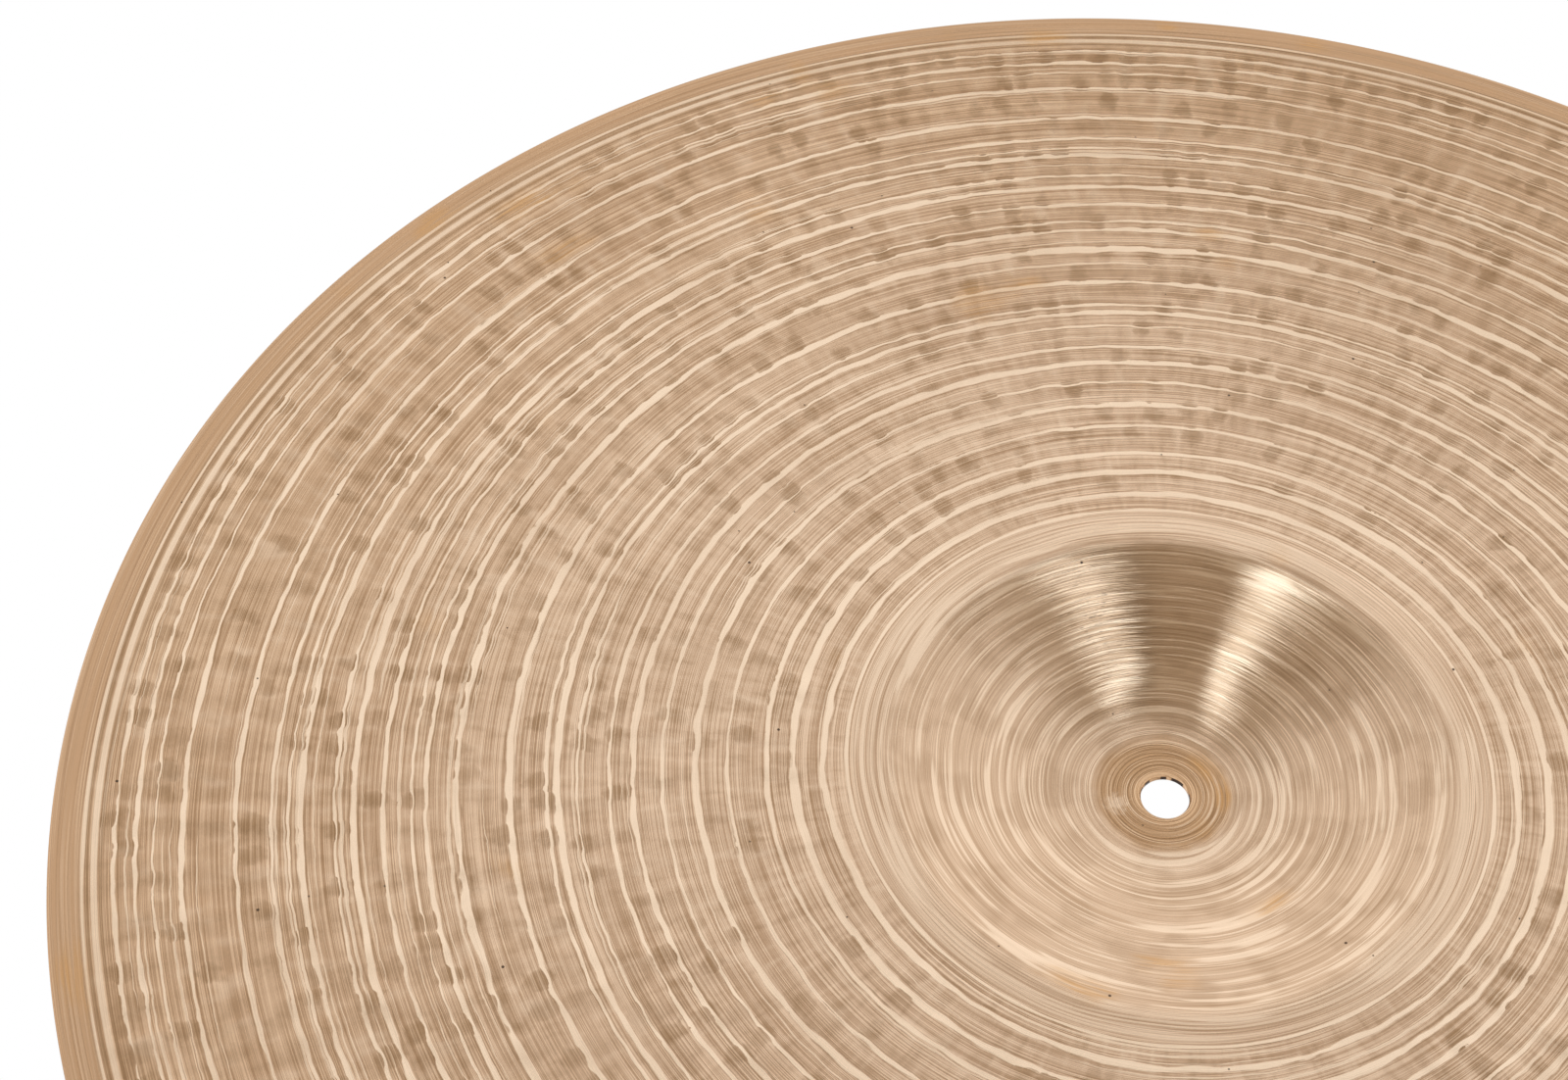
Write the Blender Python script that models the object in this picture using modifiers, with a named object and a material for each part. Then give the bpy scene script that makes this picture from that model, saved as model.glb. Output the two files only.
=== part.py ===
"""An orchestral suspended cymbal: one bronze plate, turned about its own axis.

Run it with blender --background --python part.py, or from Blender's text editor.
Lengths are metres and +Z is up. The cymbal lies as it is played, bell up. Its axis is Z, and the
origin is the centre of the circle on which its edge rests.
"""

import math

import bpy

# Driving dimensions. The plate is 22 inches across.
PLATE_RADIUS = 0.2794
HOLE_RADIUS = 0.0065
BOW_RISE = 0.018

# The bell: a level seat, a rounded crown, a straight wall, and a short curve at its foot.
SEAT_RADIUS = 0.014
WALL_START_RADIUS = 0.038
WALL_END_RADIUS = 0.071
BELL_FOOT_RADIUS = 0.076
WALL_ANGLE = math.radians(20.1)

# The bow leaves the bell level and falls ever faster towards the edge, by this power.
BOW_SHAPE = 1.7

# The plate is thickest at the crown and is turned thinner towards the edge.
CROWN_THICKNESS = 0.0018
EDGE_THICKNESS = 0.0008
TAPER_SHAPE = 1.5

# How many points the turned outline has, and how many flats go round the plate.
CROWN_STATIONS = 4
FOOT_STATIONS = 3
BOW_STATIONS = 8
EDGE_STATIONS = 3
FLATS_ROUND = 96

# Cast bell bronze, four parts copper to one of tin, in kilograms per cubic metre.
BRONZE_DENSITY = 8600.0
BRONZE_COLOUR = (0.60, 0.44, 0.30, 1.0)
BRONZE_ROUGHNESS = 0.38

MERGE_DISTANCE = 0.00001

# The two arcs of the bell's cross-section leave the level at one end and meet the wall at the other.
CROWN_CURVE = (WALL_START_RADIUS - SEAT_RADIUS) / math.sin(WALL_ANGLE)
FOOT_CURVE = (BELL_FOOT_RADIUS - WALL_END_RADIUS) / math.sin(WALL_ANGLE)


def arc_drop(curve, run):
    """How far an arc of this radius of curvature falls over the run from its level end."""
    return curve - math.sqrt(curve**2 - run**2)


def bell_height(radius):
    """Height of the bell's underside above its foot."""
    on_crown = min(max(radius, SEAT_RADIUS), WALL_START_RADIUS) - SEAT_RADIUS
    on_wall = WALL_END_RADIUS - min(max(radius, WALL_START_RADIUS), WALL_END_RADIUS)
    on_foot = BELL_FOOT_RADIUS - min(max(radius, WALL_END_RADIUS), BELL_FOOT_RADIUS)
    crown = arc_drop(CROWN_CURVE, WALL_START_RADIUS - SEAT_RADIUS) - arc_drop(CROWN_CURVE, on_crown)
    return crown + on_wall * math.tan(WALL_ANGLE) + arc_drop(FOOT_CURVE, on_foot)


def underside_height(radius):
    """Height of the plate's underside: a bow that curves down to the edge, and the bell inside it."""
    across_bow = (max(radius, BELL_FOOT_RADIUS) - BELL_FOOT_RADIUS) / (PLATE_RADIUS - BELL_FOOT_RADIUS)
    return BOW_RISE * (1.0 - across_bow**BOW_SHAPE) + bell_height(radius)


def underside_slope(radius):
    """How fast the underside falls per metre outwards, flat on the seat round the hole."""
    if radius <= SEAT_RADIUS:
        return 0.0
    step = 0.0001
    outer = min(radius + step, PLATE_RADIUS)
    return (underside_height(outer) - underside_height(radius - step)) / (outer - radius + step)


def thickness(radius):
    """Thickness of the bronze at this radius, even on the seat round the hole."""
    inwards = 1.0 - max(radius, SEAT_RADIUS) / PLATE_RADIUS
    return EDGE_THICKNESS + (CROWN_THICKNESS - EDGE_THICKNESS) * inwards**TAPER_SHAPE


def through_plate(radius, share):
    """A point in the plate's wall: share 0 lies on the underside and 1 on the top."""
    slope = underside_slope(radius)
    length = math.hypot(slope, 1.0)
    depth = share * thickness(radius)
    return radius - slope / length * depth, underside_height(radius) + depth / length


def stations():
    """The radii at which the outline has a point, from the hole to where the edge is rounded."""
    radii = [HOLE_RADIUS, SEAT_RADIUS]
    for i in range(1, CROWN_STATIONS + 1):
        radii.append(SEAT_RADIUS + CROWN_CURVE * math.sin(WALL_ANGLE * i / CROWN_STATIONS))
    for i in reversed(range(FOOT_STATIONS + 1)):
        radii.append(BELL_FOOT_RADIUS - FOOT_CURVE * math.sin(WALL_ANGLE * i / FOOT_STATIONS))
    lean = math.sin(math.atan(-underside_slope(PLATE_RADIUS)))
    edge_start = PLATE_RADIUS - EDGE_THICKNESS / 2 * (1.0 + lean)
    for i in range(1, BOW_STATIONS + 1):
        radii.append(BELL_FOOT_RADIUS + (edge_start - BELL_FOOT_RADIUS) * i / BOW_STATIONS)
    return radii


def edge_round(radius):
    """Points of the half circle that rounds the plate's edge, from its top to its underside."""
    slope_angle = math.atan(underside_slope(radius))
    middle_x, middle_z = through_plate(radius, 0.5)
    half = thickness(radius) / 2
    points = []
    for i in range(1, EDGE_STATIONS + 1):
        turn = math.pi / 2 - math.pi * i / (EDGE_STATIONS + 1) + slope_angle
        points.append((middle_x + half * math.cos(turn), middle_z + half * math.sin(turn)))
    return points


def plate_outline():
    """The plate's cross-section: out along the top, round the edge, and back along the underside."""
    radii = stations()
    top = [through_plate(radius, 1.0) for radius in radii]
    underside = [through_plate(radius, 0.0) for radius in reversed(radii)]
    return top + edge_round(radii[-1]) + underside


def plate_weight(outline):
    """Weight in kilograms of the ring that the outline sweeps, from its area and centroid."""
    moment = 0.0
    for (x0, z0), (x1, z1) in zip(outline, outline[1:] + outline[:1]):
        moment += (x0 + x1) * (x1 * z0 - x0 * z1) / 6
    return BRONZE_DENSITY * 2 * math.pi * moment


def bronze_material():
    """Bare hammered and turned bronze."""
    bronze = bpy.data.materials.new("bronze")
    bronze.use_nodes = True
    bronze.diffuse_color = BRONZE_COLOUR
    shader = bronze.node_tree.nodes["Principled BSDF"]
    shader.inputs["Base Color"].default_value = BRONZE_COLOUR
    shader.inputs["Roughness"].default_value = BRONZE_ROUGHNESS
    shader.inputs["Metallic"].default_value = 1.0
    return bronze


def cymbal_plate(collection):
    """The cymbal: its outline turned once round the axis."""
    outline = plate_outline()
    lowest = min(z for _, z in outline)
    points = [(x, 0.0, z - lowest) for x, z in outline]
    edges = [(i, (i + 1) % len(points)) for i in range(len(points))]
    mesh = bpy.data.meshes.new("cymbal_plate")
    mesh.from_pydata(points, edges, [])
    plate = bpy.data.objects.new("cymbal_plate", mesh)
    collection.objects.link(plate)
    turn = plate.modifiers.new("turn", "SCREW")
    turn.axis = "Z"
    turn.steps = FLATS_ROUND
    turn.render_steps = FLATS_ROUND
    turn.use_merge_vertices = True
    turn.merge_threshold = MERGE_DISTANCE
    turn.use_smooth_shade = True
    plate.data.materials.append(bronze_material())
    print(f"plate: {len(points)} points round the outline, {plate_weight(outline):.3f} kg of bronze")
    print(f"seat: underside at {underside_height(0.0) - lowest:.5f} m, ", end="")
    print(f"top at {underside_height(0.0) - lowest + thickness(SEAT_RADIUS):.5f} m")
    return plate


def main():
    for old in list(bpy.data.objects):
        bpy.data.objects.remove(old)
    collection = bpy.data.collections.new("suspended_cymbal")
    bpy.context.scene.collection.children.link(collection)
    cymbal_plate(collection)


main()
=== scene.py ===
# %% [markdown]
# # An orchestral suspended cymbal
# The real one is a single plate of bell bronze, 22 inches across. It is cast, rolled, hammered and
# then turned on a lathe, and nothing is fastened to it. The picture looks up at its underside, so the
# bell is seen from inside. The plate lies as it is played, bell up, with its edge at the height zero.

# %% The tools, and the packed model that everything is fitted to
import math

import bpy
import numpy as np
from mathutils import Matrix, Vector


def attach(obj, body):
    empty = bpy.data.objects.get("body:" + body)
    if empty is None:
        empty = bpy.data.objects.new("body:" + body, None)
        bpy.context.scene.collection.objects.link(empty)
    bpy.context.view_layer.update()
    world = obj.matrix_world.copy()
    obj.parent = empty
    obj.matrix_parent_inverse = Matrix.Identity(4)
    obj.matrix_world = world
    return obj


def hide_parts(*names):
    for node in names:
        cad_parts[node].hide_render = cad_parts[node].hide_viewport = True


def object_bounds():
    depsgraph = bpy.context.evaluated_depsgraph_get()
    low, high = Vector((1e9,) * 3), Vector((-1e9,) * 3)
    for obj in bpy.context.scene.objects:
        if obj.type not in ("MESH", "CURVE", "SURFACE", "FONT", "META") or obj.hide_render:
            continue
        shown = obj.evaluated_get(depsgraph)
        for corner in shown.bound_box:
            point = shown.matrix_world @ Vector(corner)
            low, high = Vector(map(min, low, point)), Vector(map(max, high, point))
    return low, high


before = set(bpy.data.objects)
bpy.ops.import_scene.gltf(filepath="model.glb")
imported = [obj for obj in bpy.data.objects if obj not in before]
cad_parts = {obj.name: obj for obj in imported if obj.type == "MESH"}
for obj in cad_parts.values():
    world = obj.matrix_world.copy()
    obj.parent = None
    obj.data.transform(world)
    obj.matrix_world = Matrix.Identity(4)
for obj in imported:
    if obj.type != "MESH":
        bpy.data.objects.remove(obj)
cad_low, cad_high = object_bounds()
MM = 0.001
PLATE_RADIUS = cad_high.x
print(f"frame: {len(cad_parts)} node, {2 * PLATE_RADIUS / MM:.1f} mm across")

# %% [markdown]
# ## The camera
# A camera is placed the way a photographer would say it: how far away, how high, and what it looks
# at. This one is below the plate and looks up. Its lens and its shift were found from the edge's
# ellipse, the hole and the turning lines in the photograph, whose frame is 1600 pixels wide.

# %% The camera below the plate
IMAGE_WIDTH = 1600
FOCAL_PIXELS = 2558
CENTRE_PIXEL_X = 930
SENSOR_WIDTH = 36.0
CAMERA_DISTANCE = 0.6424
CAMERA_BELOW = math.radians(53.67)
AIM_POINT = Vector((0.0797, 0.0404, 0.0))
CAMERA_ROLL = math.radians(-176.94)

camera_data = bpy.data.cameras.new("camera")
camera_data.sensor_width = SENSOR_WIDTH
camera_data.lens = FOCAL_PIXELS / IMAGE_WIDTH * SENSOR_WIDTH
camera_data.shift_x = (IMAGE_WIDTH / 2 - CENTRE_PIXEL_X) / IMAGE_WIDTH
camera = bpy.data.objects.new("camera", camera_data)
bpy.context.collection.objects.link(camera)
camera.location = CAMERA_DISTANCE * Vector((0.0, -math.cos(CAMERA_BELOW), -math.sin(CAMERA_BELOW)))
level_look = (AIM_POINT - camera.location).to_track_quat("-Z", "Y")
camera.rotation_euler = (level_look.to_matrix() @ Matrix.Rotation(CAMERA_ROLL, 3, "Z")).to_euler()
bpy.context.scene.camera = camera
print(f"camera: {camera_data.lens:.1f} mm lens, {CAMERA_DISTANCE:.2f} m from the plate's centre")

# %% [markdown]
# ## The shape of the plate
# A turned plate needs only its cross-section. The bow falls ever faster from the bell to the edge. The
# bell has a level seat round the hole, a rounded crown, a straight wall and a short curve at its foot:
# the photographed highlights keep one width all the way down the wall and end sharply at the foot.

# %% The mean surface of the underside, and how thick the bronze is
HOLE_RADIUS = 6.5 * MM
SEAT_RADIUS = 14.0 * MM
WALL_START_RADIUS = 38.0 * MM
WALL_END_RADIUS = 71.0 * MM
BELL_FOOT_RADIUS = 76.0 * MM
WALL_ANGLE = math.radians(20.1)
BOW_RISE = 18.0 * MM
BOW_SHAPE = 1.7
CROWN_THICKNESS = 1.8 * MM
EDGE_THICKNESS = 0.8 * MM
TAPER_SHAPE = 1.5
CROWN_CURVE = (WALL_START_RADIUS - SEAT_RADIUS) / math.sin(WALL_ANGLE)
FOOT_CURVE = (BELL_FOOT_RADIUS - WALL_END_RADIUS) / math.sin(WALL_ANGLE)


def arc_drop(curve, run):
    """How far an arc of this radius of curvature falls over the run from its level end."""
    return curve - np.sqrt(curve**2 - run**2)


def bell_height(radius):
    """Height of the bell's underside above its foot, for an array of radii."""
    on_crown = np.clip(radius, SEAT_RADIUS, WALL_START_RADIUS) - SEAT_RADIUS
    on_wall = WALL_END_RADIUS - np.clip(radius, WALL_START_RADIUS, WALL_END_RADIUS)
    on_foot = BELL_FOOT_RADIUS - np.clip(radius, WALL_END_RADIUS, BELL_FOOT_RADIUS)
    crown = arc_drop(CROWN_CURVE, WALL_START_RADIUS - SEAT_RADIUS) - arc_drop(CROWN_CURVE, on_crown)
    return crown + on_wall * math.tan(WALL_ANGLE) + arc_drop(FOOT_CURVE, on_foot)


def underside_height(radius):
    """Height of the underside above the edge, for an array of radii."""
    across_bow = (np.clip(radius, BELL_FOOT_RADIUS, PLATE_RADIUS) - BELL_FOOT_RADIUS) / (
        PLATE_RADIUS - BELL_FOOT_RADIUS)
    return BOW_RISE * (1.0 - across_bow**BOW_SHAPE) + bell_height(radius)


def thickness(radius):
    """Thickness of the bronze, for an array of radii."""
    inwards = 1.0 - np.maximum(radius, SEAT_RADIUS) / PLATE_RADIUS
    return EDGE_THICKNESS + (CROWN_THICKNESS - EDGE_THICKNESS) * inwards**TAPER_SHAPE


sample = np.array([SEAT_RADIUS, BELL_FOOT_RADIUS, PLATE_RADIUS])
print("underside height at seat, bell's foot and edge, mm:", (underside_height(sample) / MM).round(2))

# %% [markdown]
# ## One hammer for the mesh and for the material
# The smith works round the plate in rows, one blow beside the other, and the lathe later misses the
# bottoms of the deepest ones. The rows are a formula of the radius and the turn, so the same function
# can dent the mesh, with numpy arrays, and darken the bronze, with shader sockets; that darkening is
# partly the missed skin and partly painted shade of the dents. For that, sockets are wrapped in a small
# class whose operators add Math nodes.

# %% A socket that does arithmetic
class Wire:
    """A node's output. Every operator used on it adds one Math node."""

    def __init__(self, maker, socket):
        self.maker = maker
        self.socket = socket

    def math(self, operation, *others):
        return self.maker.node("ShaderNodeMath", {"operation": operation}, [self, *others])

    def flipped(self, operation, other):
        return self.maker.node("ShaderNodeMath", {"operation": operation}, [other, self])

    def output(self, name):
        """Another output of the same node."""
        return Wire(self.maker, self.socket.node.outputs[name])

    def __add__(self, other):
        return self.math("ADD", other)

    def __sub__(self, other):
        return self.math("SUBTRACT", other)

    def __rsub__(self, other):
        return self.flipped("SUBTRACT", other)

    def __mul__(self, other):
        return self.math("MULTIPLY", other)

    def __truediv__(self, other):
        return self.math("DIVIDE", other)

    def __rtruediv__(self, other):
        return self.flipped("DIVIDE", other)

    def __pow__(self, other):
        return self.math("POWER", other)

    def __mod__(self, other):
        return self.math("MODULO", other)

    def __abs__(self):
        return self.math("ABSOLUTE")

    __radd__ = __add__
    __rmul__ = __mul__


class Maker:
    """Adds nodes to one material or world."""

    def __init__(self, owner):
        owner.use_nodes = True
        self.tree = owner.node_tree
        self.tree.nodes.clear()

    def node(self, kind, settings=None, inputs=()):
        """Adds a node: its settings first, then a value or a wire for each input named or in order."""
        made = self.tree.nodes.new(kind)
        for name, value in (settings or {}).items():
            setattr(made, name, value)
        open_inputs = [socket for socket in made.inputs if socket.enabled]
        if isinstance(inputs, dict):
            pairs = [(next(s for s in open_inputs if s.name == name), v) for name, v in inputs.items()]
        else:
            pairs = list(zip(open_inputs, inputs))
        for socket, value in pairs:
            if isinstance(value, Wire):
                self.tree.links.new(value.socket, socket)
            else:
                socket.default_value = value
        shown = [socket for socket in made.outputs if socket.enabled]
        return Wire(self, shown[0] if shown else None)


print("a wire has", len([name for name in vars(Wire) if name.startswith("__r")]), "reflected operators")

# %% The same few functions for numbers in arrays and for numbers on wires
def floor(value):
    return value.math("FLOOR") if isinstance(value, Wire) else np.floor(value)


def sine(value):
    return value.math("SINE") if isinstance(value, Wire) else np.sin(value)


def at_least(value, low):
    return value.math("MAXIMUM", low) if isinstance(value, Wire) else np.maximum(value, low)


def chance(row, blow, seed):
    """A number from 0 to 1 that looks random, and is the same in the mesh and in the shader."""
    mixed = sine(row * 1.713 + blow * 2.399 + seed) * 97.3
    return mixed - floor(mixed)


# Each row starts a little further round than the one inside it, and each blow strays by up to a share
# of its pitch. Blows differ in depth, and the lightest leave a faint bulge between their neighbours.
ROW_SHIFT = 0.37
STRAY = 0.4
DEPTH_SPREAD = 1.15
DEPTH_OFFSET = 0.12


def hammer_blows(radius, turn, rows, seed):
    """How deep the hammer went, up to 1, at a radius in mm and a turn from 0 to 1 round the plate."""
    first_row, row_pitch, blow_pitch, length, width = rows
    place_in_row = (radius - first_row) / row_pitch
    row = floor(place_in_row)
    blows = floor((row + 0.5) * (math.tau * row_pitch / blow_pitch))
    place = turn * blows + row * ROW_SHIFT
    blow = floor(place) % blows
    aside = (chance(row, blow, seed + 1.0) - 0.5) * STRAY
    higher = (chance(row, blow, seed + 2.0) - 0.5) * STRAY
    along = (place - floor(place) - 0.5 - aside) * (2.0 * blow_pitch / width)
    across = (place_in_row - row - 0.5 - higher) * (2.0 * row_pitch / length)
    dish = at_least(1.0 - along * along - across * across, 0.0)
    return dish * (chance(row, blow, seed) * DEPTH_SPREAD - DEPTH_OFFSET)


# Each is where the rows are counted from, their pitch, the pitch of the blows in a row, and a mark's
# length and width, in mm.
SMALL_BLOWS = (5.0, 10.1, 8.0, 9.4, 6.8)
BROAD_BLOWS = (0.0, 15.7, 12.5, 15.0, 10.0)
SMALL_SEED = 0.0
BROAD_SEED = 5.0
trial = hammer_blows(np.linspace(90.0, 270.0, 2000), np.linspace(0.0, 1.0, 2000), SMALL_BLOWS, SMALL_SEED)
print(f"hammer: {np.mean(trial > 0.1):.0%} of the bow is inside a blow")

# %% [markdown]
# ## Turning the plate
# Half of the cross-section is drawn as a chain of edges, one extrusion after the other, as by hand in
# edit mode. A Screw modifier then carries it once round the axis. That is quicker to change than a
# modelled surface, and it is how the real plate gets its shape. The rim is rounded and the hole has a
# small chamfer on both sides.

# %% The cross-section
HOLE_CHAMFER = 0.35 * MM
RIM_STATIONS = 5
# How many points lie on the crown, the wall, the foot's curve and the bow.
UNDERSIDE_STATIONS = (8, 8, 6, 72)
TOP_STATIONS = (5, 4, 5, 46)


def underside_slope(radius):
    """How fast the underside falls outwards. It is level on the seat round the hole."""
    reach = 0.05 * MM
    fall = (underside_height(radius + reach) - underside_height(radius - reach)) / (2.0 * reach)
    return np.where(radius <= SEAT_RADIUS, 0.0, fall)


def through_plate(radius, share):
    """Points in the plate's wall, share 0 on the underside and 1 on the top."""
    slope = underside_slope(radius)
    length = np.hypot(slope, 1.0)
    depth = share * thickness(radius)
    return np.stack([radius - slope / length * depth, underside_height(radius) + depth / length], 1)


def reach_of_rim():
    """How far the rounded rim reaches past the last station."""
    lean = -math.sin(math.atan(underside_slope(np.array([PLATE_RADIUS - EDGE_THICKNESS]))[0]))
    return EDGE_THICKNESS / 2 * (1.0 + lean)


def stations(counts):
    """Radii from the hole to the rim: so many on the crown, the wall, the foot's curve and the bow."""
    on_crown, on_wall, on_foot, on_bow = counts
    crown = SEAT_RADIUS + CROWN_CURVE * np.sin(np.linspace(0.0, WALL_ANGLE, on_crown))
    wall = np.linspace(WALL_START_RADIUS, WALL_END_RADIUS, on_wall + 1)[1:]
    foot = BELL_FOOT_RADIUS - FOOT_CURVE * np.sin(np.linspace(WALL_ANGLE, 0.0, on_foot + 1))[1:]
    bow = np.linspace(BELL_FOOT_RADIUS, PLATE_RADIUS - reach_of_rim(), on_bow + 1)[1:]
    return np.concatenate([[HOLE_RADIUS + HOLE_CHAMFER], crown, wall, foot, bow])


def cross_section():
    """The outline from the hole along the top, round the rim and back under the plate."""
    top = through_plate(stations(TOP_STATIONS), 1.0)
    under = through_plate(stations(UNDERSIDE_STATIONS)[::-1], 0.0)
    rim = np.array([PLATE_RADIUS - reach_of_rim()])
    middle = through_plate(rim, 0.5)[0]
    turn = np.pi / 2 - np.pi * np.arange(1, RIM_STATIONS + 1) / (RIM_STATIONS + 1)
    turn = turn + np.arctan(underside_slope(rim))
    rounding = middle + EDGE_THICKNESS / 2 * np.stack([np.cos(turn), np.sin(turn)], 1)
    hole = np.array([[HOLE_RADIUS, under[-1, 1] + HOLE_CHAMFER], [HOLE_RADIUS, top[0, 1] - HOLE_CHAMFER]])
    return np.concatenate([top, rounding, under, hole])


outline = cross_section()
outline[:, 1] -= outline[:, 1].min()
print(f"cross-section: {len(outline)} points, {outline[:, 1].max() / MM:.2f} mm high")

# %% Turning it once round the axis
FLATS_ROUND = 600
MERGE_DISTANCE = 0.001 * MM


def deselect_all():
    for thing in bpy.context.selected_objects:
        thing.select_set(False)


def turned_from(name, points):
    """A closed solid of revolution whose outline runs through the points (radius, height)."""
    deselect_all()
    start = Vector((points[0][0], 0.0, points[0][1]))
    bpy.ops.mesh.primitive_plane_add(size=MM, location=start)
    turned = bpy.context.object
    turned.name = name
    bpy.ops.object.transform_apply(location=True, rotation=True, scale=True)
    bpy.ops.object.mode_set(mode="EDIT")
    bpy.ops.mesh.select_all(action="SELECT")
    bpy.ops.mesh.merge(type="CENTER")
    previous = start
    for radius, height in [*points[1:], points[0]]:
        following = Vector((radius, 0.0, height))
        bpy.ops.mesh.extrude_region_move(TRANSFORM_OT_translate={"value": following - previous})
        previous = following
    bpy.ops.mesh.select_all(action="SELECT")
    bpy.ops.mesh.remove_doubles(threshold=MERGE_DISTANCE)
    bpy.ops.object.mode_set(mode="OBJECT")
    bpy.ops.object.modifier_add(type="SCREW")
    screw = turned.modifiers[-1]
    screw.axis = "Z"
    screw.steps = FLATS_ROUND
    screw.render_steps = FLATS_ROUND
    screw.use_merge_vertices = True
    screw.merge_threshold = MERGE_DISTANCE
    bpy.ops.object.modifier_apply(modifier=screw.name)
    bpy.ops.object.mode_set(mode="EDIT")
    bpy.ops.mesh.select_all(action="SELECT")
    bpy.ops.mesh.normals_make_consistent(inside=False)
    bpy.ops.object.mode_set(mode="OBJECT")
    return turned


plate = turned_from("bronze_plate", outline.tolist())
print(f"plate: {len(plate.data.vertices)} vertices, {len(plate.data.polygons)} faces")

# %% [markdown]
# ## Hammering the plate
# The blows sink the thin bronze by up to a third of a millimetre, on both faces at once. The bell is
# pressed and not hammered, and the last few millimetres before the rim are turned clean.

# %% Denting the bow
SMALL_DENT = 0.09 * MM
BROAD_DENT = 0.22 * MM
HAMMERED_FROM = 88.0 * MM
HAMMERED_TO = 271.0 * MM
FADE = 6.0 * MM
SMOOTH_ANGLE = math.radians(35)


def hammer(turned):
    """Sinks the vertices of the bow under the two sizes of blow."""
    places = np.empty(len(turned.data.vertices) * 3)
    turned.data.vertices.foreach_get("co", places)
    places = places.reshape(-1, 3)
    radius = np.hypot(places[:, 0], places[:, 1])
    turn = np.arctan2(places[:, 1], places[:, 0]) / math.tau + 0.5
    fade = np.clip((radius - HAMMERED_FROM) / FADE, 0, 1) * np.clip((HAMMERED_TO - radius) / FADE, 0, 1)
    small = SMALL_DENT * hammer_blows(radius / MM, turn, SMALL_BLOWS, SMALL_SEED)
    broad = BROAD_DENT * hammer_blows(radius / MM, turn, BROAD_BLOWS, BROAD_SEED)
    dents = fade * (small + broad)
    places[:, 2] -= dents
    turned.data.vertices.foreach_set("co", places.ravel())
    turned.data.update()
    print(f"hammer: dents of up to {dents.max() / MM:.2f} mm")


hammer(plate)
deselect_all()
plate.select_set(True)
bpy.context.view_layer.objects.active = plate
bpy.ops.object.shade_smooth_by_angle(angle=SMOOTH_ANGLE)

# %% [markdown]
# ## Bronze: colours and small helpers
# Bare bell bronze is a metal, so its colour is the colour of its reflections. The colours were judged
# from the photograph and are written as the eye sees them, from 0 to 255. The two shades multiply the
# colour under them and are plain factors.

# %% Colours
def seen(red, green, blue):
    """A colour as the eye sees it, turned into the linear light that a shader works in."""
    shares = [value / 255 for value in (red, green, blue)]
    return (*[((share + 0.055) / 1.055) ** 2.4 for share in shares], 1.0)


GROOVE = seen(179, 145, 114)
RIDGE = seen(230, 200, 171)
# Pale fresh metal, which on the bow's stripes also serves as painted highlight.
FRESH_CUT_AND_HIGHLIGHT = seen(244, 218, 190)
# The dark of unturned skin, which also serves as painted shade in the hammer marks and the stripes.
MISSED_SKIN_AND_SHADE = seen(142, 109, 75)
OUTER_SHADE = (0.91, 0.86, 0.79, 1.0)
# How much darker the plate gets towards one side.
ONE_SIDE_DARKER = (0.86, 0.84, 0.81, 1.0)
BELL_TAN = seen(205, 175, 146)
CROWN_TINT = seen(187, 148, 109)
RIM_TINT = seen(193, 155, 119)
CROWN_LINE = seen(138, 102, 68)
CROWN_LIP = seen(226, 186, 146)
HEAT_STAIN = seen(204, 153, 92)
# Dark pits and nicks, and also the painted shade on the wall of the hole.
PIT_AND_HOLE_SHADE = seen(58, 42, 32)
print("a ridge reflects", [round(c, 2) for c in RIDGE[:3]])

# %% Node helpers for colour, noise and soft steps
def blend(first, second, amount):
    """The first colour where the amount is 0 and the second where it is 1."""
    inputs = {"Factor": amount, "A": first, "B": second}
    return amount.maker.node("ShaderNodeMix", {"data_type": "RGBA"}, inputs)


def shade(colour, by, amount):
    """The colour, multiplied by another one as far as the amount says."""
    inputs = {"Factor": amount, "A": colour, "B": by}
    return amount.maker.node("ShaderNodeMix", {"data_type": "RGBA", "blend_type": "MULTIPLY"}, inputs)


def soft_step(value, low, high):
    """0 below the low value, 1 above the high one, and a smooth climb between."""
    inputs = {"Value": value, "From Min": low, "From Max": high}
    return value.maker.node("ShaderNodeMapRange", {"interpolation_type": "SMOOTHSTEP"}, inputs)


def between(value, low, high, soft):
    """1 between two values and 0 outside them, with an edge this soft."""
    return soft_step(value, low - soft, low + soft) * (1.0 - soft_step(value, high - soft, high + soft))


def noise(maker, along_x, along_y, along_z, detail=1.0):
    """Smooth noise around 0.5 that changes once for each unit along each of the three wires."""
    place = maker.node("ShaderNodeCombineXYZ", None, [along_x, along_y, along_z])
    return maker.node("ShaderNodeTexNoise", None, {"Vector": place, "Scale": 1.0, "Detail": detail})


print("helpers: blend, shade, soft_step, between and noise")

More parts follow.
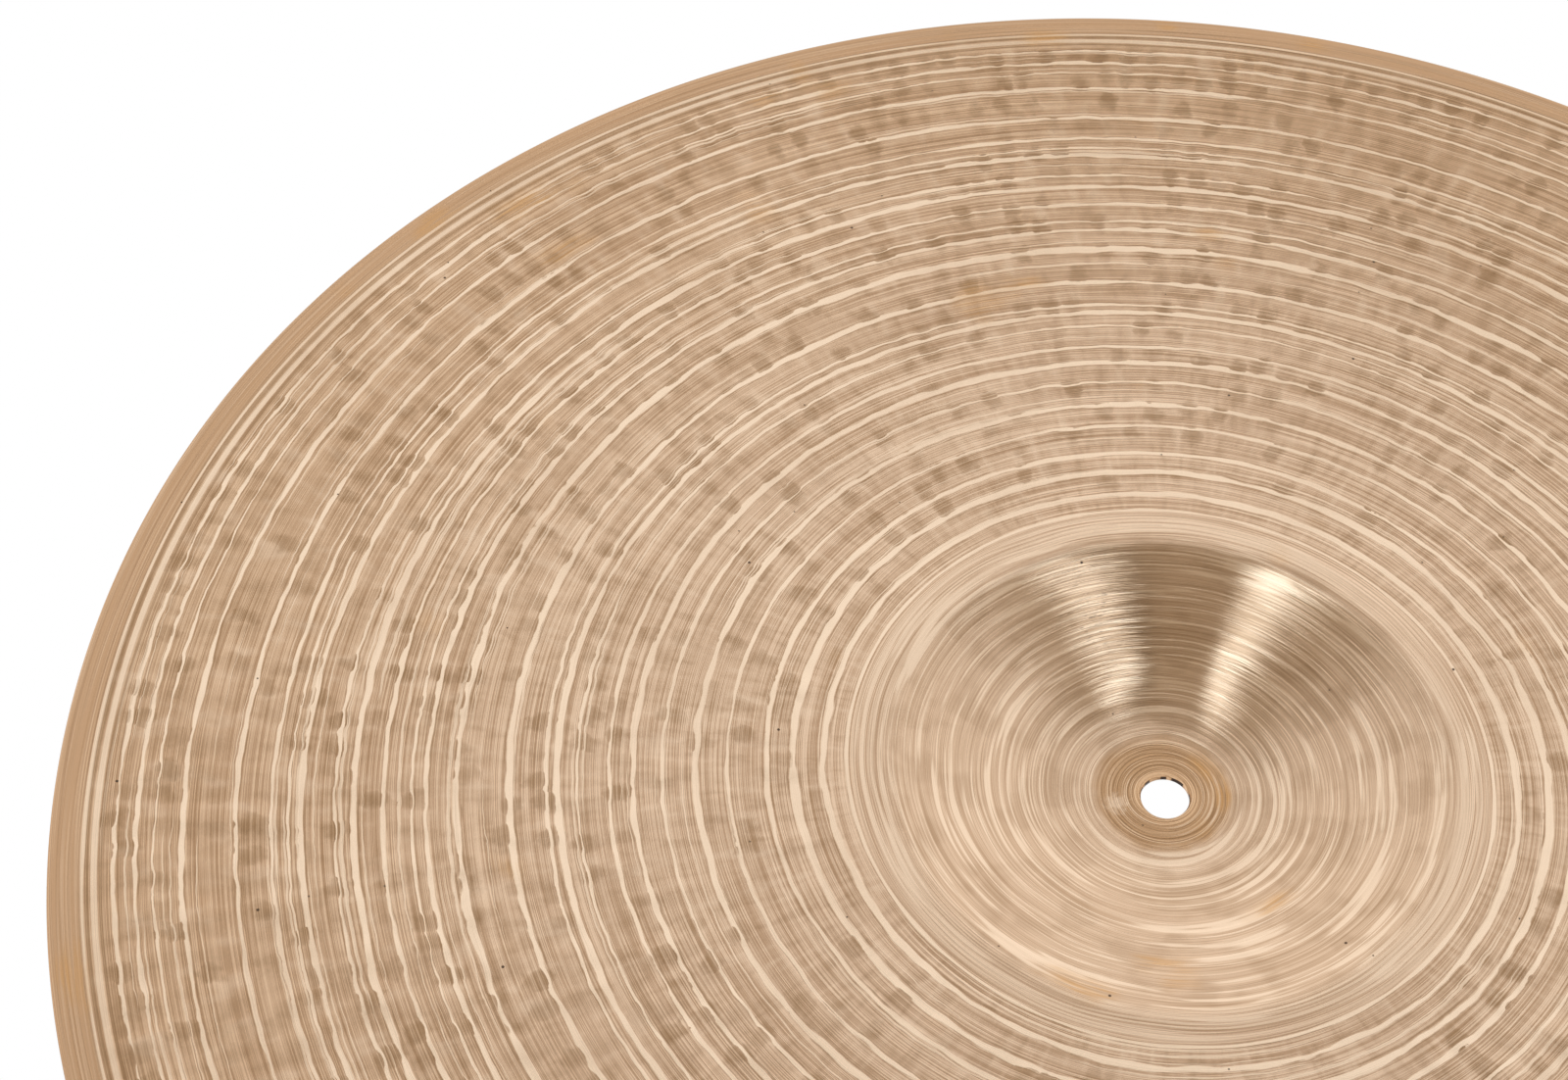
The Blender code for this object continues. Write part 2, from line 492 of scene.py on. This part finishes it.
# %% Where a point is on the plate, and the kinds of noise that suit a turned plate
class Place:
    """Where a point is, in mm: across, along and out from the turning's centre, and out from the hole's."""

    def __init__(self, maker, centre):
        coordinates = maker.node("ShaderNodeTexCoord").output("Object")
        axes = maker.node("ShaderNodeSeparateXYZ", None, [coordinates])
        self.maker = maker
        self.x = axes * (1.0 / MM) - centre[0]
        self.y = axes.output("Y") * (1.0 / MM) - centre[1]
        self.radius = (self.x * self.x + self.y * self.y) ** 0.5
        self.from_hole = (axes * axes + axes.output("Y") * axes.output("Y")) ** 0.5 * (1.0 / MM)
        self.turn = self.y.math("ARCTAN2", self.x) / math.tau + 0.5

    def noise(self, size, seed, detail=1.0):
        """Blotches of this size in mm, alike in every direction."""
        return noise(self.maker, self.x / size, self.y / size, seed, detail)

    def grain(self, across, along, seed, detail=1.0, radius=None):
        """Noise drawn out along the turning lines: its width and its length in mm."""
        radius = self.radius if radius is None else radius
        return noise(self.maker, radius / across + seed, self.x / along, self.y / along, detail)

    def rays(self, count, length, seed):
        """Noise drawn out along the radius: how many stripes to a radian, and their length in mm."""
        return noise(self.maker, self.x / self.radius * count, self.y / self.radius * count,
                     self.radius / length + seed)

    def cells(self, size, seed):
        """Distance from the nearest of many scattered points, which gives kinks and not waves."""
        place = self.maker.node("ShaderNodeCombineXYZ", None, [self.x / size + seed, self.y / size])
        inputs = {"Vector": place, "Scale": 1.0}
        return self.maker.node("ShaderNodeTexVoronoi", {"voronoi_dimensions": "2D"}, inputs)

    def blot(self, angle, radius, size, wobble, flatness=0.0):
        """A ragged spot, placed by its angle in degrees, its radius and its size in mm.

        Flatness thins it across the turning lines.
        """
        away_x = self.x - radius * math.cos(math.radians(angle))
        away_y = self.y - radius * math.sin(math.radians(angle))
        outwards = self.radius - radius
        distance = (away_x * away_x + away_y * away_y + outwards * outwards * flatness) ** 0.5
        return 1.0 - soft_step(distance / size + wobble, 0.1, 1.2)


print("noise on the plate: blotches, turning grain, rays, cells and blots")

# %% [markdown]
# ## Bronze: what the lathe leaves
# The tool cuts fine lines half a millimetre apart. Where two cuts meet it leaves a pale, fresh band, a
# millimetre or two wide. The bands are circles, but the plate is not flat under the tool: they kink at
# the hammer blows. The ones that stand out are placed by their radius, and noise makes the rest.

# %% The bands that stand out
# Each is the radius of a band's middle and half its width, in mm.
BANDS = ((84.0, 0.5), (90.0, 1.0), (98.0, 1.1), (105.0, 0.8), (115.0, 0.5), (123.0, 0.9), (131.5, 0.5),
         (139.0, 0.9), (145.0, 0.6), (153.0, 0.4), (158.0, 0.9), (161.0, 0.5), (170.0, 0.9), (183.0, 1.1),
         (190.5, 0.8), (194.0, 0.4), (201.0, 0.7), (208.0, 1.0), (212.5, 0.6), (220.5, 0.9), (223.5, 0.4),
         (227.5, 0.6), (236.0, 0.7), (248.5, 0.8), (255.0, 0.4), (259.2, 0.7), (264.0, 0.6))
RIM_BANDS = ((271.1, 0.45), (268.4, 0.95))


def turned_bands(radius, bands):
    """How deep the tool bit, from 0 at a band's edge to 1 at its middle."""
    bite = None
    for middle, half_width in bands:
        near = 1.0 - abs(radius - middle) / half_width
        bite = near if bite is None else at_least(bite, near)
    return bite


print(f"bands: {len(BANDS)} on the bow and {len(RIM_BANDS)} at the rim")

# %% How the bands stray, and where they stop
# The zones are in mm from the centre. How far a band strays is in mm too: in a slow drift, in kinks,
# and where it crosses a hammer blow.
BANDS_STRAY = (86.0, 267.0, 5.0)
DRIFT = 1.1
KINK = 0.5
PULL_OF_BLOW = 0.4
RIM_STARTS = (271.7, 272.0)
RINGS_END = (81.0, 84.0)
BANDS_START = (82.0, 84.0)


def swerved(place, marks):
    """The radius as the tool met it: pushed in and out by the hammered surface, most of all in a blow."""
    drift = (place.noise(20.0, 3.1) - 0.5) * DRIFT
    kink = (place.cells(7.5, 8.7) - 0.45) * KINK
    return place.radius + (drift + kink + marks * PULL_OF_BLOW) * between(place.radius, *BANDS_STRAY)


def on_rim(place):
    """1 on the plain ring inside the edge."""
    return soft_step(place.radius, *RIM_STARTS)


print(f"rim: plain from {RIM_STARTS[0]:.1f} mm outwards")

# %% Pale bands
def scattered_bands(place, swerve, breaking, seed):
    """Thin bands made by noise: their fresh metal and their dark burr, 0 to 1."""
    thin = place.grain(0.8, 130.0, seed, 1.0, swerve)
    pale = soft_step(thin + breaking * 0.025, 0.64, 0.68) * 0.7
    return pale, between(thin, 0.60, 0.63, 0.02) * 0.3


def photographed_bands(place, swerve, breaking, seed):
    """The bands placed by their radius, a little narrower outwards: fresh metal and burr, 0 to 1."""
    ragged = soft_step(place.grain(2.0, 12.0, seed + 2.0), 0.46, 0.60)
    bite = turned_bands(swerve, BANDS) + breaking - soft_step(place.radius, 140.0, 270.0) * 0.15
    at_rim = turned_bands(place.radius, RIM_BANDS) + breaking * 0.2
    pale = at_least(soft_step(bite, 0.0, 0.3), soft_step(at_rim, 0.0, 0.5) * 0.8)
    burr = at_least(between(bite, -0.50, -0.1, 0.15) * ragged, between(at_rim, -1.0, -0.2, 0.2))
    return pale, burr


def pale_bands(place, swerve, marks, placed, seed):
    """Fresh metal on the bow, 0 to 1, with the dark burr along the bands' edges, 0 to 1."""
    breaking = (place.grain(4.0, 20.0, seed + 1.0) - 0.5) * 2.0 - marks * 0.35
    pale, burr = scattered_bands(place, swerve, breaking, seed)
    if placed:
        placed_pale, placed_burr = photographed_bands(place, swerve, breaking, seed)
        pale = at_least(pale, placed_pale)
        burr = at_least(burr, placed_burr)
    on_bow = soft_step(place.radius, *BANDS_START) * (1.0 - on_rim(place))
    fading = soft_step(place.noise(55.0, seed + 37.0), 0.30, 0.60) * 0.25 + 0.75
    return pale * on_bow * fading, burr * on_bow


print("finish: pale bands on the bow")

# %% Bell rings and fine lines
BELL_FOOT = (75.0, 84.0, 2.0)
BELL_WORN = (18.0, 78.0, 2.0)


def bell_rings(place, seed):
    """Inside the bell, soft rings of fresh metal that run into each other, and darker ones between."""
    drift = place.radius + (place.noise(38.0, seed + 4.5) - 0.5) * 3.0
    wide = place.grain(1.8, 40.0, seed + 4.0, 2.0, drift)
    narrow = place.grain(0.62, 60.0, seed + 5.0, 1.0, drift)
    in_bell = 1.0 - soft_step(place.radius, *RINGS_END)
    foot = between(place.radius, *BELL_FOOT) * soft_step(narrow, 0.40, 0.60) * 0.5
    rings = at_least(soft_step(wide, 0.55, 0.65) * 0.65, soft_step(narrow, 0.60, 0.68) * 0.6)
    worn = 1.0 - soft_step(narrow * 0.6 + wide * 0.4, 0.36, 0.46)
    return at_least(rings, foot) * in_bell, worn * between(place.radius, *BELL_WORN)


def fine_lines(place, seed):
    """The tool's own lines, 0 in a groove and 1 on a ridge, coarser towards the edge."""
    fine = place.grain(0.23, 60.0, seed + 7.0)
    coarse = place.grain(0.7, 120.0, seed + 9.0, 2.0)
    share = soft_step(place.radius, 110.0, 230.0) * 0.16 + 0.20
    return soft_step(fine + (coarse - fine) * share, 0.34, 0.66)


print("finish: bell rings and fine lines")

# %% [markdown]
# ## Bronze: what the hammer and the heat leave
# The lathe doesn't reach the bottoms of the deepest blows, so they keep a darker skin with a few lines
# across it, and painted shade of the dents darkens them further. Between them the dented metal gets
# painted shade and painted highlight in soft stripes that point to the centre. Heat and fingers tint
# the crown, the rim and a few spots.

# %% Hammer marks, and stripes of painted shade and painted highlight
MARKS_ZONE = (92.0, 268.0, 4.0)


def hammer_marks(place, seed):
    """The bottoms of the blows, 0 to 1, with soft and ragged edges: missed skin and painted shade of the
    dents.
    """
    stray = (place.noise(4.0, seed + 2.0, 2.0) - 0.5) * 7.0
    turn = place.turn + (place.noise(4.0, seed + 3.0, 2.0) - 0.5) * 6.0 / (place.radius * math.tau)
    blows = hammer_blows(place.radius + stray, turn, SMALL_BLOWS, SMALL_SEED)
    return soft_step(blows, -0.1, 1.0) * between(place.radius, *MARKS_ZONE)


def stripes(place, seed):
    """Stripes of painted shade and painted highlight across the dents, towards the centre, around 0.5."""
    return place.rays(48.0, 10.0, seed + 11.0) * 0.55 + place.noise(9.0, seed + 12.0, 2.0) * 0.45


print("finish: hammer marks and stripes")

# %% Stains, pits, nicks and a smear
# Each is a stain's angle in degrees, its radius and its size in mm.
PLACED_STAINS = ((134.0, 14.5, 7.0), (165.0, 16.0, 7.0), (-82.0, 72.5, 11.0), (-98.0, 58.0, 10.0),
                 (-136.0, 45.0, 8.0), (-30.0, 274.0, 11.0), (27.0, 274.0, 10.0), (32.0, 262.0, 13.0),
                 (32.0, 241.0, 10.0), (51.0, 262.0, 8.0), (71.5, 270.0, 10.0), (80.0, 276.0, 5.0),
                 (90.0, 276.0, 8.0), (84.0, 191.0, 6.0), (66.0, 172.0, 7.0))
STAIN_FLATNESS = 5.0


def stains(place, placed_stains, seed):
    """Orange heat stains, 0 to 1."""
    wobble = (place.grain(3.0, 9.0, seed + 17.0) - 0.5) * 1.2
    orange = soft_step(place.noise(34.0, seed + 18.0, 2.0), 0.66, 0.80) * 0.5
    for angle, radius, size in placed_stains:
        orange = at_least(orange, place.blot(angle, radius, size, wobble, STAIN_FLATNESS) * 0.6)
    return orange * soft_step(place.grain(0.6, 14.0, seed + 19.0), 0.25, 0.70)


def specks(place, seed):
    """Tiny dark pits, a few in each hand's breadth."""
    larger = 1.0 - soft_step(place.cells(95.0, seed + 23.0), 0.0030, 0.0050)
    smaller = 1.0 - soft_step(place.cells(60.0, seed + 24.0), 0.0030, 0.0048)
    return at_least(larger, smaller)


def nicks(place):
    """A few short dark nicks along the turning lines, where a hand tool slipped inside the bell."""
    return soft_step(place.grain(0.3, 3.0, 41.0), 0.66, 0.71) * place.blot(60.0, 56.0, 14.0, 0.0)


def smear(place):
    """A pale wipe of polish beside the hole."""
    wobble = (place.noise(1.2, 31.0, 2.0) - 0.5) * 1.4
    return place.blot(-28.0, 13.0, 3.6, wobble)


print(f"stains: {len(PLACED_STAINS)} placed ones")

# %% The crown, the bell and the bow
# The zones are in mm from the centre, and the hole's lip in mm from the middle of the hole.
CROWN_ENDS = (15.5, 20.0)
HOLE_LIP = (6.6, 8.8, 0.9)
BOW_ZONE = (84.0, 271.0, 2.0)
BELL_TAN_ENDS = (70.0, 84.0)


def crown_colour(place, colour, seed):
    """The untouched skin round the hole: dull, finely lined, and golden at the hole's lip."""
    ragged = place.radius + (place.noise(5.0, seed + 26.0) - 0.5) * 3.0
    crown = 1.0 - soft_step(ragged, *CROWN_ENDS)
    grooves = place.grain(0.27, 24.0, seed + 27.0, 2.0)
    lines = soft_step(grooves, 0.48, 0.60)
    colour = blend(colour, CROWN_TINT, crown * 0.85)
    colour = blend(colour, CROWN_LINE, crown * lines * 0.7)
    colour = blend(colour, FRESH_CUT_AND_HIGHLIGHT, crown * (1.0 - soft_step(grooves, 0.34, 0.44)) * 0.5)
    lip = between(place.from_hole, *HOLE_LIP) * 0.55
    return blend(colour, CROWN_LIP, lip * (1.0 - lines * 0.6))


def bell_colour(place, colour, worn, seed):
    """The bell inside: tan, in broad soft patches and with darker rings."""
    in_bell = 1.0 - soft_step(place.radius, *BELL_TAN_ENDS)
    patches = soft_step(place.noise(13.0, seed + 33.0, 2.0), 0.45, 0.62)
    colour = blend(colour, BELL_TAN, in_bell * 0.5)
    colour = blend(colour, MISSED_SKIN_AND_SHADE, in_bell * patches * 0.22)
    return blend(colour, MISSED_SKIN_AND_SHADE, worn * 0.30)


def bow_colour(place, colour, lines, stripe, marks):
    """Stripes of painted shade and painted highlight, and the hammer marks, with the fine lines showing
    through.
    """
    on_bow = between(place.radius, *BOW_ZONE)
    # Painted shade where a stripe is high, and painted highlight where it is low.
    dark = soft_step(stripe, 0.49, 0.70) * on_bow * (0.36 - lines * 0.14)
    colour = blend(colour, MISSED_SKIN_AND_SHADE, dark)
    colour = blend(colour, FRESH_CUT_AND_HIGHLIGHT, soft_step(1.0 - stripe, 0.50, 0.70) * on_bow * 0.25)
    # The marks darken partly as missed skin and partly as painted shade of the dents.
    return blend(colour, MISSED_SKIN_AND_SHADE, marks * (0.68 - lines * 0.34))


print("colours: crown, bell and bow")

# %% The rim, the darker side and the painted shade in the hole
ONE_SIDE_ZONE = (20.0, 280.0)
ONE_SIDE_LEAN = 0.35
ONE_SIDE_CLOUDS = 80.0
HOLE_WALL = (6.58, 6.72)


def darker_to_one_side(place, colour, seed):
    """Darker towards one side of the plate, with a cloudy edge."""
    clouds = (place.noise(60.0, seed + 35.0) - 0.5) * ONE_SIDE_CLOUDS
    side_mask = soft_step(place.y - place.x * ONE_SIDE_LEAN + clouds, *ONE_SIDE_ZONE)
    return shade(colour, ONE_SIDE_DARKER, side_mask)


def rim_colour(place, colour, seed):
    """The plain ring inside the edge, tan and softly lined."""
    rim_lines = soft_step(place.grain(0.7, 80.0, seed + 36.0, 2.0), 0.42, 0.60)
    return blend(colour, RIM_TINT, on_rim(place) * (0.85 - rim_lines * 0.65))


def hole_painted_shade(place, colour):
    """Painted shade on the wall of the hole, broken by a few glints."""
    glints = soft_step(place.rays(3.0, 40.0, 3.0), 0.46, 0.50)
    in_hole = 1.0 - soft_step(place.from_hole, *HOLE_WALL)
    # Painted shade on the hole's wall, left off where the glints are.
    return blend(colour, PIT_AND_HOLE_SHADE, in_hole * (1.0 - glints))


print(f"one_side_darkening: leans {ONE_SIDE_LEAN} across for each step along")

# %% The bronze of one face
OUTER_SHADE_ZONE = (120.0, 275.0)
BELL_BUMP_ENDS = (72.0, 78.0)
# How high a fine line and a fresh band stand, in mm, and how much higher they stand in the bell.
LINE_HEIGHT = 0.003
LINE_HEIGHT_IN_BELL = 0.010
FRESH_HEIGHT = 0.008
FRESH_HEIGHT_IN_BELL = 0.014
BURR_DEPTH = 0.008


def bronze_height(place, lines, fresh, burr):
    """The height of the turned surface in mm, for the bump."""
    in_bell = 1.0 - soft_step(place.radius, *BELL_BUMP_ENDS)
    line_height = in_bell * LINE_HEIGHT_IN_BELL + LINE_HEIGHT
    fresh_height = in_bell * FRESH_HEIGHT_IN_BELL + FRESH_HEIGHT
    return lines * line_height + fresh * fresh_height - burr * BURR_DEPTH


def bronze_surface(place, placed, seed):
    """The colour of one face, and the height of its lines in mm."""
    marks = hammer_marks(place, seed)
    lines = fine_lines(place, seed)
    pale, burr = pale_bands(place, swerved(place, marks), marks, placed, seed)
    rings, worn = bell_rings(place, seed)
    fresh = at_least(pale, rings)

    colour = blend(GROOVE, RIDGE, lines)
    colour = shade(colour, OUTER_SHADE, soft_step(place.radius, *OUTER_SHADE_ZONE))
    colour = bell_colour(place, colour, worn, seed)
    colour = bow_colour(place, colour, lines, stripes(place, seed), marks)
    colour = blend(colour, FRESH_CUT_AND_HIGHLIGHT, fresh)
    colour = blend(colour, MISSED_SKIN_AND_SHADE, burr * 0.45)
    colour = darker_to_one_side(place, colour, seed)
    colour = crown_colour(place, colour, seed)
    colour = rim_colour(place, colour, seed)
    colour = blend(colour, HEAT_STAIN, stains(place, PLACED_STAINS if placed else (), seed))
    colour = blend(colour, PIT_AND_HOLE_SHADE, specks(place, seed) * 0.9)
    if placed:
        colour = blend(colour, FRESH_CUT_AND_HIGHLIGHT, smear(place) * 0.5)
        colour = blend(colour, PIT_AND_HOLE_SHADE, nicks(place) * 0.8)
    colour = hole_painted_shade(place, colour)
    return colour, bronze_height(place, lines, fresh, burr)


print(f"bump: fine lines {LINE_HEIGHT * 1000:.0f} thousandths of a millimetre high")

# %% [markdown]
# ## Bronze: the two faces
# The underside carries the bands and stains of the photograph, and the top has noise of its own. Each
# face was turned on a centre a little off the hole's. The tiny grooves stretch every highlight across
# themselves, towards the centre, which is what an anisotropic finish does.

# %% The two materials
ROUGHNESS = 0.12
ANISOTROPY = 0.8
ANISOTROPY_TURN = 0.25
UNDERSIDE_CENTRE = (0.8, 0.8)
TOP_CENTRE = (-0.6, 0.4)
UNDERSIDE_SEED = 0.0
TOP_SEED = 40.0


def turned_bronze(name, centre, placed, seed):
    """Hammered and turned bell bronze, for the underside or for the top."""
    material = bpy.data.materials.new(name)
    maker = Maker(material)
    colour, height = bronze_surface(Place(maker, centre), placed, seed)
    bump = maker.node("ShaderNodeBump", None, {"Strength": 1.0, "Distance": MM, "Height": height})
    finish = {
        "Base Color": colour,
        "Metallic": 1.0,
        "Roughness": ROUGHNESS,
        "Anisotropic": ANISOTROPY,
        "Anisotropic Rotation": ANISOTROPY_TURN,
        "Normal": bump,
    }
    shader = maker.node("ShaderNodeBsdfPrincipled", None, finish)
    maker.node("ShaderNodeOutputMaterial", None, [shader])
    print(f"{name}: {len(maker.tree.nodes)} nodes")
    return material


plate.data.materials.append(turned_bronze("bronze_underside", UNDERSIDE_CENTRE, True, UNDERSIDE_SEED))
plate.data.materials.append(turned_bronze("bronze_top", TOP_CENTRE, False, TOP_SEED))
facing = np.empty(len(plate.data.polygons) * 3)
plate.data.polygons.foreach_get("normal", facing)
plate.data.polygons.foreach_set("material_index", (facing[2::3] > 0.0).astype(np.int32))

# %% [markdown]
# ## The studio
# Metal shows what is round it. All round is a white room, so that the bronze renders in the colour it
# was given. At a glancing angle every metal turns white, so the room is dimmer at the plate's own
# height. Below the plate lies a grey card with two strip lamps. Turned grooves draw a lamp out into a
# fan from the centre, so these give the two bright wedges and the dark one inside the bell. The same
# set hangs above the plate for its top.

# %% The white room
FLOOR_LIGHT = 0.93
WALL_LIGHT = 0.42
LEVEL_LIGHT = 0.45
LEVEL_ENDS = (0.0, 0.28)

world = bpy.data.worlds.new("white_room")
bpy.context.scene.world = world
room = Maker(world)
direction = room.node("ShaderNodeTexCoord").output("Generated")
upright = abs(room.node("ShaderNodeSeparateXYZ", None, [direction]).output("Z"))
light = (1.0 - upright) * WALL_LIGHT + FLOOR_LIGHT
light = light * (soft_step(upright, *LEVEL_ENDS) * (1.0 - LEVEL_LIGHT) + LEVEL_LIGHT)
seen_direct = room.node("ShaderNodeLightPath")
strength = light + (1.0 - light) * seen_direct
white = (1.0, 1.0, 1.0, 1.0)
background = room.node("ShaderNodeBackground", None, {"Color": white, "Strength": strength})
room.node("ShaderNodeOutputWorld", None, [background])
bpy.context.scene.view_settings.view_transform = "Standard"
print(f"world: white, {FLOOR_LIGHT} below and above, {WALL_LIGHT} more towards the walls")

# %% The strip lamps
SET_DISTANCE = 1.4
STRIPS = (("left", -0.390, 0.150), ("right", 0.188, 0.145))
STRIP_LENGTH = 0.8
STRIP_RADIANCE = 1.2
STRIP_COLOUR = (0.84, 1.0, 1.15)


def strip_lamp(name, x, width, z):
    """A soft strip lamp that lies along Y and faces the plate."""
    data = bpy.data.lights.new(name, "AREA")
    data.shape = "RECTANGLE"
    data.size = width
    data.size_y = STRIP_LENGTH
    data.energy = 4.0 * STRIP_RADIANCE * width * STRIP_LENGTH
    data.color = STRIP_COLOUR
    lamp = bpy.data.objects.new(name, data)
    bpy.context.collection.objects.link(lamp)
    lamp.location = (x, 0.0, z)
    lamp.rotation_euler = (math.pi if z < 0.0 else 0.0, 0.0, 0.0)
    lamp.visible_camera = False


for side, way in (("below", -1.0), ("above", 1.0)):
    for hand, x, width in STRIPS:
        strip_lamp(f"strip_{hand}_{side}", x, width, way * SET_DISTANCE)
print(f"lamps: {len(STRIPS)} strips below the plate and {len(STRIPS)} above it")

# %% The grey card behind them
CARD_BEHIND = 0.03
CARD_SIZE = 2.6
CARD_COLOUR = (0.47, 0.41, 0.33, 1.0)
CARD_SHADE = (0.20, 0.16, 0.11, 1.0)
# Where the card fades in and out along X and along Y, and its darker strip, in metres.
CARD_STARTS = (-1.2, -0.5)
CARD_STOPS = (0.35, 0.9)
CARD_NARROWS = (0.15, 1.0)
SHADED_STRIP = (-0.30, -0.22, 0.04)


def grey_card(name, z):
    """A grey card with soft edges, which only reflections see."""
    deselect_all()
    bpy.ops.mesh.primitive_plane_add(size=CARD_SIZE, location=(0.0, 0.0, z))
    card = bpy.context.object
    card.name = name
    card.visible_camera = False
    card.visible_diffuse = False
    card.visible_shadow = False
    card.visible_transmission = False
    grey = bpy.data.materials.new(name)
    maker = Maker(grey)
    across = maker.node("ShaderNodeSeparateXYZ", None, [maker.node("ShaderNodeTexCoord").output("Object")])
    there = soft_step(across, *CARD_STARTS) * (1.0 - soft_step(across, *CARD_STOPS))
    there = there * (1.0 - soft_step(abs(across.output("Y")), *CARD_NARROWS))
    clear = maker.node("ShaderNodeBsdfTransparent")
    greys = blend(CARD_COLOUR, CARD_SHADE, between(across, *SHADED_STRIP))
    paint = maker.node("ShaderNodeBsdfDiffuse", None, {"Color": greys})
    card_shader = maker.node("ShaderNodeMixShader", None, [there, clear, paint])
    maker.node("ShaderNodeOutputMaterial", None, [card_shader])
    card.data.materials.append(grey)


for side, way in (("below", -1.0), ("above", 1.0)):
    grey_card(f"grey_card_{side}", way * (SET_DISTANCE + CARD_BEHIND))
print("cards: one behind each pair of lamps")

# %% The floor, which only a camera above it sees
FLOOR_SIZE = 12.0
FLOOR_DROP = 0.2 * MM
FLOOR_FADES = (0.7, 5.5)
FLOOR_GREY = 0.8

deselect_all()
bpy.ops.mesh.primitive_plane_add(size=FLOOR_SIZE, location=(0.0, 0.0, -FLOOR_DROP))
floor_sheet = bpy.context.object
floor_sheet.name = "floor"
pale_paint = bpy.data.materials.new("floor")
maker = Maker(pale_paint)
paint = maker.node("ShaderNodeBsdfDiffuse", None, {"Color": (FLOOR_GREY, FLOOR_GREY, FLOOR_GREY, 1.0)})
clear = maker.node("ShaderNodeBsdfTransparent")
axes = maker.node("ShaderNodeSeparateXYZ", None, [maker.node("ShaderNodeTexCoord").output("Object")])
away = (axes * axes + axes.output("Y") * axes.output("Y")) ** 0.5
from_above = 1.0 - maker.node("ShaderNodeNewGeometry").output("Backfacing")
seen_here = maker.node("ShaderNodeLightPath") * from_above * (1.0 - soft_step(away, *FLOOR_FADES))
floor_shader = maker.node("ShaderNodeMixShader", None, [seen_here, clear, paint])
maker.node("ShaderNodeOutputMaterial", None, [floor_shader])
floor_sheet.data.materials.append(pale_paint)
print("floor: pale, seen from above only")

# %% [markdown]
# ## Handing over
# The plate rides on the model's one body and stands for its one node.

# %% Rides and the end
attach(plate, "root")
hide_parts("cymbal_plate")
